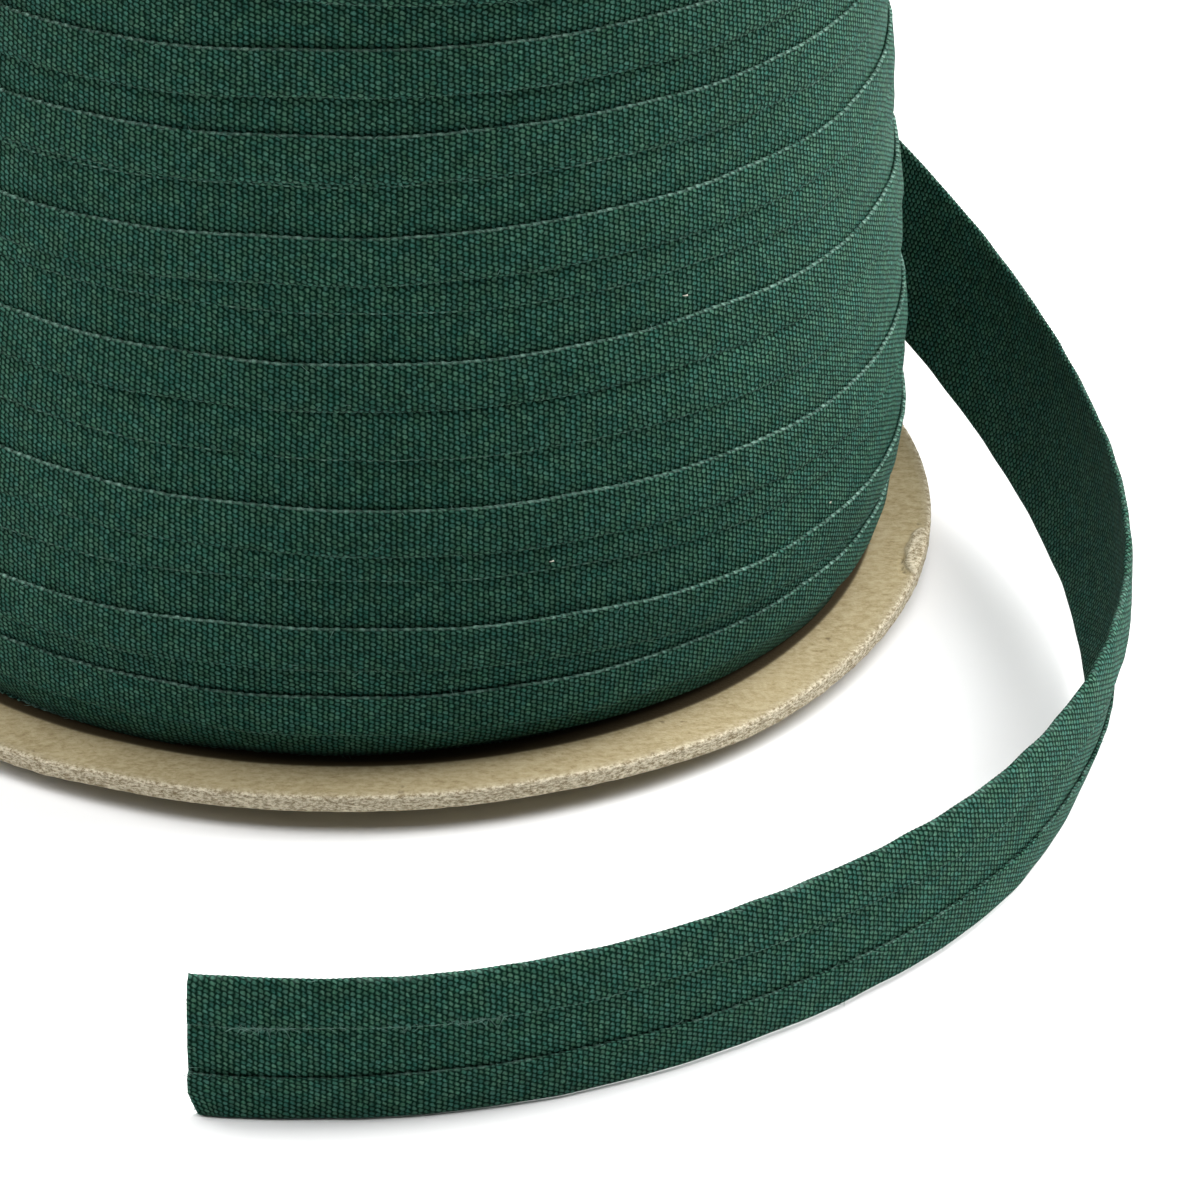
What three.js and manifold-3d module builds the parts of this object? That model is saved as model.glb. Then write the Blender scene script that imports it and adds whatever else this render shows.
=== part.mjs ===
// Roll of folded binding tape: a spool with two round board flanges, the wound tape between them, and the
// loose end of the tape, which comes down the back of the roll and lies round it on the surface.
// Millimetres, +Z up. The origin is the centre of the foot under the bottom flange, on the surface that it
// rests on. An azimuth is in degrees, 0 towards +X, and grows anticlockwise seen from above. The front is -Y.

import * as THREE from "three";
import { mergeVertices } from "three/addons/utils/BufferGeometryUtils.js";
import Module from "manifold-3d";

// The spool
const FLANGE_RADIUS = 76.2;
const FLANGE_THICKNESS = 2.2;
const FLANGE_EDGE = 0.4; // worn edge of the board
const FOOT_RADIUS = 22; // a shallow round foot in the middle holds the bottom flange off the surface
const FOOT_HEIGHT = 3.0;
const TRAVERSE = 127; // clear height between the flanges
const CLEARANCE = 0.3; // between pieces that touch
const FLANGE_SEGMENTS = 72;

// The tape: a strip of canvas with both raw edges folded in on its outer face
const TAPE_WIDTH = 19.05;
const FLAP_WIDTH = 6.2; // from a fold to the raw edge beside it
const SHEET_THICKNESS = 1.0; // between the flaps
const FLAP_STEP = 0.5; // a flap stands this far off the middle
const FOLD_ROUND = 0.3; // corners of the folds

// Radius of the pack under its last layer, which is fullest low down and draws in at the flange. The heights
// of the pack and of its turns are above the bottom flange's underside.
const PACK_PROFILE = [
  { height: 2, radius: 67.0 },
  { height: 8, radius: 69.4 },
  { height: 20, radius: 71.2 },
  { height: 32, radius: 70.8 },
  { height: 46, radius: 69.9 },
  { height: 60, radius: 68.4 },
  { height: 76, radius: 67.4 },
  { height: 100, radius: 66.5 },
  { height: 130, radius: 65.9 },
];
const UNDERLAYER_DEPTH = 0.4; // how far the layer below lies inside that radius
const UNDERLAYER_STEPS = 12;
const UNDERLAYER_SEGMENTS = 60;

// Height of each turn's lower fold where it passes the right, the front and the left of the roll. The turns
// climb clockwise seen from above, each one laid over the top of the turn below it.
const TURNS = [
  { right: -6.0, front: -5.0, left: -4.0 },
  { right: 6.3, front: 7.3, left: 7.4 },
  { right: 14.6, front: 17.5, left: 17.3 },
  { right: 31.0, front: 33.5, left: 34.7 },
  { right: 51.0, front: 52.5, left: 53.1 },
  { right: 68.2, front: 69.0, left: 67.9 },
  { right: 81.0, front: 82.0, left: 81.1 },
  { right: 92.0, front: 92.8, left: 91.9 },
  { right: 102.6, front: 104.7, left: 105.9 },
];
const RIGHT_AZIMUTH = -37;
const FRONT_AZIMUTH = -90;
const LEFT_AZIMUTH = -128;
const BACK_RISE = 12; // climb from the left of the last turn on to where a next one would pass the right
const STEPS_PER_TURN = 45;
const FIRST_TURN = -0.5; // the wind starts below the bottom flange, and the slab between the flanges cuts it
const ATTACH_AZIMUTH = -170; // the last turn ends here and the loose end begins

// One turn across its width, from its lower fold up: how far up the tape, and how far out from the pack's
// radius
const TURN_SECTION = [
  { up: 0.0, out: 0.0 },
  { up: 0.25, out: 0.95 },
  { up: 0.9, out: 1.15 },
  { up: 6.1, out: 1.0 },
  { up: 6.35, out: 0.5 },
  { up: 12.8, out: 0.35 },
  { up: TAPE_WIDTH, out: 0.3 },
];
const SMALLEST_STEP = 0.3; // between the section's points where the next turn covers part of it

// Route of the loose end's lower edge, from the cut end round the right of the roll and up its back to the
// last turn, with the lean of the tape's top edge outward and how far the tape's middle is crowned out of the
// line between its edges. Heights are above the surface. The rows steer an even cubic B-spline.
const LOOSE_ROUTE = [
  { azimuth: -111.5, reach: 136, height: 0, lean: -1, crown: 0.7 },
  { azimuth: -98, reach: 138, height: 0, lean: -1, crown: 0.7 },
  { azimuth: -83, reach: 137, height: 0.1, lean: 0, crown: 0.7 },
  { azimuth: -68, reach: 130, height: 0.5, lean: -1, crown: 0.7 },
  { azimuth: -53, reach: 124, height: 0.7, lean: -1, crown: 0.9 },
  { azimuth: -36, reach: 111.5, height: 1, lean: 6, crown: 1.9 },
  { azimuth: -19, reach: 97.6, height: 2, lean: 17, crown: 2.0 },
  { azimuth: 2, reach: 85.8, height: 5, lean: 20, crown: 1.3 },
  { azimuth: 26, reach: 79, height: 12, lean: 28, crown: 0.7 },
  { azimuth: 51, reach: 79, height: 23.5, lean: 30, crown: 0.7 },
  { azimuth: 73, reach: 76.5, height: 43.5, lean: 21, crown: 0.7 },
  { azimuth: 95, reach: 75.5, height: 64.5, lean: 2, crown: 0.7 },
  { azimuth: 115, reach: 79.5, height: 86.5, lean: -17, crown: 0.7 },
  { azimuth: 137, reach: 83, height: 107, lean: -36, crown: 0.7 },
  { azimuth: 162, reach: 77.5, height: 113, lean: -27, crown: 0.7 },
  { azimuth: 189.7, reach: 66, height: 110, lean: 0, crown: 0.7 },
  { azimuth: 217.4, reach: 66.5, height: 106.5, lean: 28, crown: 0.7 },
];
const LOOSE_STEPS = 100;
const CUT_CORNER = { up: 3.2, back: 1.2 }; // the cut end's lower corner is trimmed off
const ROUTE_STEP = 0.001; // share of the route's length over which its direction is taken

const CANVAS = new THREE.MeshStandardMaterial({ color: 0x1f4d39, roughness: 0.95, metalness: 0 });
const BOARD = new THREE.MeshStandardMaterial({ color: 0xb49f7c, roughness: 0.9, metalness: 0 });

const wasm = await Module();
wasm.setup();

// Value of a table's column at x, in straight lines between its rows
function between(rows, xColumn, yColumn, x) {
  const last = rows.length - 1;
  if (x <= rows[0][xColumn]) return rows[0][yColumn];
  if (x >= rows[last][xColumn]) return rows[last][yColumn];
  const i = rows.findIndex((row) => row[xColumn] > x) - 1;
  const share = (x - rows[i][xColumn]) / (rows[i + 1][xColumn] - rows[i][xColumn]);
  return THREE.MathUtils.lerp(rows[i][yColumn], rows[i + 1][yColumn], share);
}

// A point from its azimuth, its distance from the axis and its height
function polar(azimuth, reach, height) {
  const angle = THREE.MathUtils.degToRad(azimuth);
  return new THREE.Vector3(reach * Math.cos(angle), reach * Math.sin(angle), height);
}

function geometryOf(points, triangles) {
  const geometry = new THREE.BufferGeometry();
  geometry.setAttribute("position", new THREE.Float32BufferAttribute(points.flatMap((p) => p.toArray()), 3));
  geometry.setIndex(triangles.flat());
  return geometry;
}

function solidOf(geometry) {
  const bare = geometry.clone();
  bare.deleteAttribute("normal");
  bare.deleteAttribute("uv");
  const merged = mergeVertices(bare);
  const vertProperties = new Float32Array(merged.attributes.position.array);
  const triVerts = new Uint32Array(merged.index.array);
  return new wasm.Manifold(new wasm.Mesh({ numProp: 3, vertProperties, triVerts }));
}

function geometryOfSolid(solid) {
  const mesh = solid.getMesh();
  const geometry = new THREE.BufferGeometry();
  geometry.setAttribute("position", new THREE.Float32BufferAttribute(mesh.vertProperties, 3));
  geometry.setIndex(Array.from(mesh.triVerts));
  return geometry;
}

// A solid of revolution about the vertical axis, from rows of radius and height that begin and end on it
function turned(profile, segments) {
  const lathe = new THREE.LatheGeometry(profile.map(([r, z]) => new THREE.Vector2(r, z)), segments);
  return lathe.rotateX(Math.PI / 2);
}

// Flange

// A flange, with its foot below it where it has one
function flange(footHeight = 0) {
  const edge = FLANGE_RADIUS - FLANGE_EDGE;
  const top = footHeight + FLANGE_THICKNESS;
  const foot = footHeight > 0 ? [[FOOT_RADIUS, 0], [FOOT_RADIUS, footHeight]] : [];
  const profile = [
    [0, 0],
    ...foot,
    [edge, footHeight],
    [FLANGE_RADIUS, footHeight + FLANGE_EDGE],
    [FLANGE_RADIUS, top - FLANGE_EDGE],
    [edge, top],
    [0, top],
  ];
  return turned(profile, FLANGE_SEGMENTS);
}

// Wound tape

const packBottom = FLANGE_THICKNESS + CLEARANCE;
const packTop = FLANGE_THICKNESS + TRAVERSE - CLEARANCE;
const packRadius = (height) => between(PACK_PROFILE, "height", "radius", height);
const lastTurn = TURNS.length - 1 + (RIGHT_AZIMUTH - ATTACH_AZIMUTH) / 360;

// Heights of the lower fold along the whole wind, counted in turns from the right of the first one
const FOLD_LINE = TURNS.flatMap((turn, i) => [
  { turns: i, height: turn.right },
  { turns: i + (RIGHT_AZIMUTH - FRONT_AZIMUTH) / 360, height: turn.front },
  { turns: i + (RIGHT_AZIMUTH - LEFT_AZIMUTH) / 360, height: turn.left },
]);
FOLD_LINE.unshift({ turns: -1, height: TURNS[0].right - BACK_RISE });
FOLD_LINE.push({ turns: TURNS.length, height: TURNS[TURNS.length - 1].left + BACK_RISE });

// A smooth curve through the fold line's rows: cubics with the slope of each row taken from its neighbours
function foldHeight(turns) {
  const rows = FOLD_LINE;
  const found = rows.findIndex((row) => row.turns > turns) - 1;
  const i = THREE.MathUtils.clamp(found, 0, rows.length - 2);
  const slope = (k) => {
    const a = rows[Math.max(k - 1, 0)];
    const b = rows[Math.min(k + 1, rows.length - 1)];
    return (b.height - a.height) / (b.turns - a.turns);
  };
  const span = rows[i + 1].turns - rows[i].turns;
  const t = (turns - rows[i].turns) / span;
  const a = rows[i].height;
  const b = rows[i + 1].height;
  const easedStart = (1 + 2 * t) * (1 - t) ** 2 * a + t * (1 - t) ** 2 * span * slope(i);
  const easedEnd = t * t * (3 - 2 * t) * b + t * t * (t - 1) * span * slope(i + 1);
  return easedStart + easedEnd;
}

// Points up one section of the wind. Where the next turn lies over this one, the rows are drawn in below it.
function windSection(turns) {
  const fold = foldHeight(turns);
  const pitch = turns + 1 <= lastTurn ? foldHeight(turns + 1) - fold : TAPE_WIDTH;
  const last = TURN_SECTION.length - 1;
  return TURN_SECTION.map(({ up, out }, k) => {
    const height = fold + Math.min(up, pitch - SMALLEST_STEP * (last - k));
    return polar(RIGHT_AZIMUTH - 360 * turns, packRadius(height) + out, height);
  });
}

// The turns as one surface: the top of each turn's section is the foot of the section one turn on. The first
// turn's foot and the last turn's head are closed to the axis.
function windGeometry() {
  const count = Math.round((lastTurn - FIRST_TURN) * STEPS_PER_TURN);
  const start = lastTurn - count / STEPS_PER_TURN;
  const rise = TURN_SECTION.length - 1;
  const points = [];
  const index = [];
  for (let i = 0; i <= count; i++) {
    const section = windSection(start + i / STEPS_PER_TURN);
    index.push(section.map((p) => points.push(p) - 1));
  }
  for (let i = 0; i + STEPS_PER_TURN <= count; i++) index[i][rise] = index[i + STEPS_PER_TURN][0];

  const triangles = [];
  for (let i = 0; i < count; i++) {
    for (let k = 0; k < rise; k++) {
      const [a, b, c, d] = [index[i][k], index[i + 1][k], index[i + 1][k + 1], index[i][k + 1]];
      triangles.push([a, c, b], [a, d, c]);
    }
  }
  const foot = index.slice(0, STEPS_PER_TURN + 1).map((row) => row[0]);
  const footEdge = index[0].slice(1, rise).reverse();
  const endEdge = index[count].slice(0, rise);
  const head = index.slice(count - STEPS_PER_TURN + 1).map((row) => row[rise]).reverse();
  for (const loop of [[...foot, ...footEdge], [...endEdge, ...head]]) {
    const middle = loop.reduce((sum, k) => sum + points[k].z, 0) / loop.length;
    const hub = points.push(new THREE.Vector3(0, 0, middle)) - 1;
    loop.forEach((k, i) => triangles.push([hub, k, loop[(i + 1) % loop.length]]));
  }
  return geometryOf(points, triangles);
}

// The layer below, plain, as far as it shows above the last turn
function underlayer() {
  const profile = [[0, packBottom]];
  for (let i = 0; i <= UNDERLAYER_STEPS; i++) {
    const height = THREE.MathUtils.lerp(packBottom, packTop, i / UNDERLAYER_STEPS);
    profile.push([packRadius(height) - UNDERLAYER_DEPTH, height]);
  }
  profile.push([0, packTop]);
  return turned(profile, UNDERLAYER_SEGMENTS);
}

function woundTape() {
  const slab = new THREE.CylinderGeometry(FLANGE_RADIUS, FLANGE_RADIUS, packTop - packBottom, STEPS_PER_TURN);
  slab.rotateX(Math.PI / 2).translate(0, 0, (packTop + packBottom) / 2);
  const turns = solidOf(windGeometry()).intersect(solidOf(slab));
  return geometryOfSolid(turns.add(solidOf(underlayer())));
}

// Loose tape

// Outline of the tape's section: up the inner face, then down the outer face with its two flaps. The tape is
// crowned: its middle stands off the line between its edges.
function tapeSection(crown) {
  const face = SHEET_THICKNESS / 2;
  const flap = face + FLAP_STEP;
  const top = TAPE_WIDTH;
  const rows = [
    { up: 0, out: 0 },
    { up: FOLD_ROUND, out: -face },
    { up: top / 2, out: -face },
    { up: top - FOLD_ROUND, out: -face },
    { up: top, out: 0 },
    { up: top, out: face },
    { up: top - FOLD_ROUND, out: flap },
    { up: top - FLAP_WIDTH + FOLD_ROUND / 2, out: flap },
    { up: top - FLAP_WIDTH, out: face },
    { up: top / 2, out: face },
    { up: FLAP_WIDTH, out: face },
    { up: FLAP_WIDTH - FOLD_ROUND / 2, out: flap },
    { up: FOLD_ROUND, out: flap },
    { up: 0, out: face },
  ];
  return rows.map(({ up, out }) => {
    const bow = crown * (1 - (2 * up / TAPE_WIDTH - 1) ** 2);
    return new THREE.Vector2(up, out + bow);
  });
}

// Values of the route at a share of its length, from the even cubic B-spline of its rows
function routeAt(share) {
  const spans = LOOSE_ROUTE.length - 3;
  const i = Math.min(Math.floor(share * spans), spans - 1);
  const t = share * spans - i;
  const weights = [
    (1 - t) ** 3 / 6,
    (3 * t ** 3 - 6 * t * t + 4) / 6,
    (-3 * t ** 3 + 3 * t * t + 3 * t + 1) / 6,
    t ** 3 / 6,
  ];
  const mix = (column) => weights.reduce((sum, w, k) => sum + w * LOOSE_ROUTE[i + k][column], 0);
  return { edge: polar(mix("azimuth"), mix("reach"), mix("height")), lean: mix("lean"), crown: mix("crown") };
}

// The lower edge there, with the directions along the tape, up its width and out of its outer face
function routeFrame(share) {
  const { edge, lean, crown } = routeAt(share);
  const before = routeAt(Math.max(share - ROUTE_STEP, 0)).edge;
  const after = routeAt(Math.min(share + ROUTE_STEP, 1)).edge;
  const along = after.clone().sub(before).normalize();
  const side = along.clone().cross(new THREE.Vector3(0, 0, 1)).normalize();
  const up = side.clone().cross(along);
  const tilt = THREE.MathUtils.degToRad(lean);
  const width = up.clone().multiplyScalar(Math.cos(tilt)).addScaledVector(side, Math.sin(tilt));
  return { edge, along, width, outward: along.clone().cross(width), crown };
}

function looseTape() {
  const outline = tapeSection(LOOSE_ROUTE[0].crown);
  const size = outline.length;
  const points = [];
  for (let i = 0; i <= LOOSE_STEPS; i++) {
    const { edge, along, width, outward, crown } = routeFrame(i / LOOSE_STEPS);
    const ring = tapeSection(crown).map(({ x: up, y: out }) => {
      const trim = i === 0 ? CUT_CORNER.back * Math.max(0, 1 - up / CUT_CORNER.up) : 0;
      const point = edge.clone().addScaledVector(width, up).addScaledVector(outward, out);
      return point.addScaledVector(along, trim);
    });
    const lift = edge.z - Math.min(...ring.map((p) => p.z));
    ring.forEach((p) => points.push(p.setZ(p.z + lift)));
  }
  const triangles = [];
  for (let i = 0; i < LOOSE_STEPS; i++) {
    for (let k = 0; k < size; k++) {
      const next = (k + 1) % size;
      const [a, b] = [i * size + k, i * size + next];
      triangles.push([a, b, b + size], [a, b + size, a + size]);
    }
  }
  const lastRing = LOOSE_STEPS * size;
  for (const [a, b, c] of THREE.ShapeUtils.triangulateShape(outline, [])) {
    triangles.push([a, c, b], [lastRing + a, lastRing + b, lastRing + c]);
  }
  return geometryOf(points, triangles);
}

// Assembly

function piece(name, geometry, material, height = 0) {
  const mesh = new THREE.Mesh(geometry, material);
  mesh.name = name;
  mesh.position.z = height;
  return mesh;
}

const roll = new THREE.Group();
roll.add(
  piece("flange_bottom", flange(FOOT_HEIGHT), BOARD),
  piece("wound_tape", woundTape(), CANVAS, FOOT_HEIGHT),
  piece("flange_top", flange(), BOARD, FOOT_HEIGHT + FLANGE_THICKNESS + TRAVERSE),
  piece("loose_tape", looseTape(), CANVAS),
);

export default roll;
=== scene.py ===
"""Roll of folded canvas binding tape on a board spool, with its loose end lying round the front.

Lengths are in metres, and MM turns millimetres into them. Z is up, the origin is under the middle of the
spool's foot and the front is -Y. Azimuths are in degrees, 0 towards +X, anticlockwise seen from above.
Heights on the roll are above the bottom flange's underside.
"""
import math

import bpy
import numpy as np
from mathutils import Matrix, Vector


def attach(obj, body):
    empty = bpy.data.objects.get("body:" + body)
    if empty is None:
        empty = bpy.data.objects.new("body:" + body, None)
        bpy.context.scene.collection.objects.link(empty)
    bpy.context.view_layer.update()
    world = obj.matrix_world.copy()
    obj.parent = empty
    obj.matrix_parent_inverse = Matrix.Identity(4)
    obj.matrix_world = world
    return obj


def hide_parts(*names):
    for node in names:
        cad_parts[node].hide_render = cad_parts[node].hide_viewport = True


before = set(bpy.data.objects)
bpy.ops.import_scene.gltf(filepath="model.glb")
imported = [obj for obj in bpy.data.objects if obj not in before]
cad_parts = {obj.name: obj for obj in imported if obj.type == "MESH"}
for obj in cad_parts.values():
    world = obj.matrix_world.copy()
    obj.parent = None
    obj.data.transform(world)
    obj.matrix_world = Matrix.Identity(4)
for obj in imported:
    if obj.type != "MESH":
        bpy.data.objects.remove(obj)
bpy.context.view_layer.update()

MM = 0.001

# The spool
FLANGE_RADIUS = 76.2 * MM
FLANGE_THICKNESS = 2.2 * MM
TRAVERSE = 127 * MM
FOOT_HEIGHT = 3.0 * MM
FLANGE_STEPS = 900
# The bottom flange's rim is warped: height in mm at an azimuth, over a flat one
BOTTOM_WARP = [
    (-180, -0.5), (-150, -0.9), (-128, -0.8), (-119, -0.6), (-114, -0.15), (-98, 0.0), (-72, 0.3),
    (-60, 0.0), (-49, -0.55), (-38, -0.2), (-22, 0.35), (0, 0.45), (40, 0.2), (90, 0.0), (150, -0.3),
    (180, -0.5),
]
NO_WARP = [(-180, 0), (180, 0)]
WARP_START = 64 * MM  # the warp begins at this radius

# The flange's section from its middle out over the top, down the rim and back, in mm: radius (less than 0
# counts in from the rim), height and roughness
FLANGE_SECTION = [
    (2, 2.2, 0), (30, 2.2, 0), (60, 2.2, 0), (64, 2.2, 0), (67, 2.2, 0), (68.2, 2.2, 0), (68.6, 2.2, 0),
    (69.0, 2.2, 0), (69.4, 2.2, 0), (70.0, 2.2, 0), (70.6, 2.2, 0), (71.5, 2.2, 0), (72.5, 2.2, 0),
    (73.0, 2.2, 0), (73.4, 2.2, 0), (73.8, 2.2, 0), (74.2, 2.2, 0), (74.6, 2.2, 0), (75.0, 2.2, 0.1),
    (-0.75, 2.19, 0.3), (-0.40, 2.16, 0.6), (-0.14, 2.05, 1), (-0.02, 1.86, 1), (-0.04, 1.60, 1),
    (0.0, 1.32, 1), (-0.05, 1.04, 1), (-0.02, 0.78, 1), (-0.08, 0.52, 1), (-0.04, 0.28, 1),
    (-0.16, 0.10, 1), (-0.42, 0.01, 0.8), (-0.9, 0.0, 0.3), (-2.5, 0.0, 0), (-6, 0.0, 0),
]
TOP_LEVEL = 1  # section points above this height, in mm, are on the top face or high on the rim
FOOT_SECTION = [(45, 0, 0), (22.3, 0, 0), (22.0, -0.3, 0), (22.0, -2.7, 0), (21.7, -3.0, 0), (2, -3.0, 0)]
PLAIN_UNDERSIDE = [(45, 0, 0), (20, 0, 0), (2, 0, 0)]

# Unevenness round the rim: how far it goes, fewest and most waves round the circle, how many sines
RIM_BEND = (0.05 * MM, 3, 20)
RIM_LAYERS = (0.022 * MM, 60, 420, 30)
RIM_CHIPS = (0.05 * MM, 15, 160, 24)
CHIP_SHARE = 0.8
LAYER_RISE = 0.6
LOWER_RIM = 1.2 * MM  # chips and rises fade out up to this height
LEAST_RAW, RAW_FROM = 0.25, 0.1  # the rim is this raw up to this roughness
BOTTOM_SEED, TOP_SEED = 61, 67
CONTACT_SHADE = (69.1 * MM, 68.4 * MM)  # painted shade darkens the board between these radii, where the tape meets it

# The scuffed nick in the bottom flange's top face: the azimuth and reach of its outer edge's middle, its half
# width in degrees and its depth in mm. Then, in shares of these, where its lump fades in and where the crease
# round it runs, the crease's azimuths, and the azimuth, reach and size of the dent beside it.
NICK_AZIMUTH, NICK_REACH = -12.2, 76.0
NICK_WIDTH, NICK_DEPTH = 4.6, 2.3
LUMP = (1.02, 0.86)
CREASE_MIDDLE, CREASE_WIDTH = 1.06, 0.07
CREASE_AZIMUTHS = (-8.5, -12.5)
CREASE_INWARD = 0.35
DENT_AZIMUTH, DENT_REACH, DENT_SIZE = -6.9, 74.8, 0.35
# How far the lump, the crease and the dent rise, in mm, and how much more raw they look; below 0 that is the
# share of painted shade they take
# The crease's painted shade stands for the shadow in it, and the dent is darkened the same way
NICK_EFFECTS = [(0.30, 0.8), (-0.25, -0.7), (-0.35, -0.85)]

# The tape
TAPE_WIDTH = 19.05 * MM
WARP_PITCH = 0.33 * MM  # between warp yarns, which run along the tape
PICK_PITCH = 0.696 * MM
STEP = PICK_PITCH / 2  # of the meshes along the tape

# Radius of the pack under its last layer: height and radius in mm
PACK_PROFILE = [
    (2, 67.0), (8, 69.4), (20, 71.2), (32, 70.8), (46, 69.9), (60, 68.4), (76, 67.4), (100, 66.5),
    (130, 65.9),
]
# Heights of each turn's lower fold, in mm, where it passes the right, the front and the left of the roll
RIGHT, FRONT, LEFT = -37, -90, -128
TURNS = [
    (-6.0, -5.0, -4.0), (6.3, 7.3, 7.4), (14.6, 17.5, 17.3), (31.0, 33.5, 34.7), (51.0, 52.5, 53.1),
    (68.2, 69.0, 67.9), (81.0, 82.0, 81.1), (92.0, 92.8, 91.9), (102.6, 104.7, 105.9),
]
BACK_RISE = 12
ATTACH_AZIMUTH = -170
LAST_TURN = len(TURNS) - 1 + (RIGHT - ATTACH_AZIMUTH) / 360
TURNS_BEYOND, LENGTH_SAMPLES = 0.3, 6000  # of the table of the tape's length
CUT_TURN = (RIGHT - 90) / 360 + 1  # the meshes of the turns meet behind the roll, at azimuth 90

# Section of a turn, round from its inner face: up the tape from the lower fold and out from the pack's
# radius, both in mm, and how much of the fold's and of the raw edge's scallops a point takes
TURN_SECTION = [
    (0.45, 0.10, 0.0, 0.0),
    (0.10, 0.28, 0.6, 0.0),
    (0.00, 0.58, 1.0, 0.0),
    (0.10, 0.92, 1.0, 0.0),
    (0.42, 1.14, 0.5, 0.0),
    (1.10, 1.22, 0.0, 0.0),
    (3.20, 1.17, 0.0, 0.0),
    (5.50, 1.07, 0.0, 0.1),
    (6.06, 1.06, 0.0, 0.7),
    (6.22, 0.98, 0.0, 1.0),
    (6.26, 0.62, 0.0, 1.0),
    (5.95, 0.46, 0.0, 0.5),
    (5.75, 0.32, 0.0, 0.0),
    (6.30, 0.34, 0.0, 0.0),
    (6.80, 0.46, 0.0, 0.0),
    (9.20, 0.50, 0.0, 0.0),
    (12.40, 0.44, 0.0, 0.0),
    (12.86, 0.38, 0.0, -0.3),
    (12.72, 0.52, 0.0, -1.0),
    (12.76, 0.78, 0.0, -1.0),
    (13.00, 0.86, 0.0, -0.6),
    (15.80, 0.84, 0.0, 0.0),
    (18.30, 0.80, 0.0, 0.0),
    (18.92, 0.62, 0.3, 0.0),
    (19.05, 0.36, 0.6, 0.0),
    (18.80, 0.06, 0.0, 0.0),
    (9.50, 0.02, 0.0, 0.0),
]
SECTION_UNITS = [[MM], [MM], [1], [1]]
INNER_FACE = 0.3  # stretches of the section that end nearer the pack than this, in mm, are its inner face
FUZZY_ROWS = {9: 0.45, 8: 0.2, 2: 0.15, 3: 0.1, 5: 0.1}  # rows that fibres grow from, with their shares
COVERED_DIP = 0.9 * MM  # a turn lies this much further in under the next one
DIP_SLOPE = (0.6 * MM, 2.6 * MM)  # the dip deepens over this way up from the covering turn's fold
UNCOVERED = (LAST_TURN - 0.01, LAST_TURN + 0.02)  # over these turns the covering turn ends
LEAST_LAP = 0.25 * MM  # of a turn under the next one
FOLD_SCALLOP = 0.05 * MM
FOLD_SWELL = 0.4  # outward, as a share of the scallop
RAW_SCALLOP = 0.11 / 2 * MM
UPPER_LIFT = 0.8  # of the upper raw edge, as a share of the lower one's
# Where the first turns meet the flange they are turned in, with this slope and depth
TURN_IN_GAP = 0.12 * MM
TURN_IN_START = 4 * MM
TURN_IN_SLOPE = 0.02
TURN_IN_DEPTH = 0.85
TURN_IN_HEIGHT = 3.2 * MM
FOOT_DRAW = 0.55 * MM
FOOT_RIPPLE = (29, 0.55 * MM, 3, 11)

# Unevenness along the tape: seed, how far it goes, its longest and shortest waves in metres
FOLD_WAVES = (11, 0.16 * MM, 0.33, 0.022)
WIDTH_WAVES = (13, 0.08 * MM, 0.2, 0.03)
TOOTH_WAVES = (17, 0.35, 0.009, 0.0028)
LIFT_WAVES = (19, 0.05 * MM, 0.06, 0.004)
PACK_WAVES = (23, 0.10 * MM, 0.25, 0.03)
PILLOW_SEED = 31
PILLOW_WAVES = (0.04 * MM, 0.09, 0.008)
UNDER_FOLD_WAVES = (41, 0.25 * MM, 0.3, 0.04)
UNDER_PACK_WAVES = (43, 0.1 * MM, 0.2, 0.03)
LOOSE_TOOTH_WAVES = (51, 0.45, 0.009, 0.0028)
LOOSE_WIDTH_WAVES = (53, 0.10 * MM, 0.12, 0.02)
LOOSE_LIFT_WAVES = (55, 0.10 * MM, 0.07, 0.005)
CUT_END_WAVES = (57, 0.06 * MM, 0.006, 0.0007)
# The same for how pale raw edges and folds are, with the number of sines
LOWER_TUFTS = (71, 0.30, 0.05, 0.0011, 9)
UPPER_TUFTS = (73, 0.30, 0.05, 0.0011, 9)
RUBBED_WAVES = (79, 0.16, 0.04, 0.0012, 9)
RUBBED = 0.12
FRAYED_FROM, RUBBED_FROM = 0.7, 0.4
# Mean paleness of the lower and of the upper raw edge
# The wound turns' lower raw edges face up and are made paler than the upper ones: a painted highlight over
# the frayed fibres' own paleness
WOUND_FRAY_AND_HIGHLIGHT = (0.62, 0.3)
LOOSE_FRAY = (0.15, 0.45)

# The layer below
UNDER_RADIUS = 66 * MM
UNDER_BORE = 40 * MM
UNDER_DEPTH = 1.3 * MM
UNDER_HEIGHTS, UNDER_STEPS = 14, 240
END_GAP = 0.1 * MM  # to each flange
UNDER_TURNS = 3
UNDER_PITCH = 12.5 * MM
UNDER_STEP = 4 * STEP
UNDER_START = 2.5 * MM  # the first of its turns begins this much past the top
UNDER_AZIMUTH = RIGHT - 60
UNDER_DIP = 0.8 * MM
UNDER_TURN_DEPTH = 1.25 * MM

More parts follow.
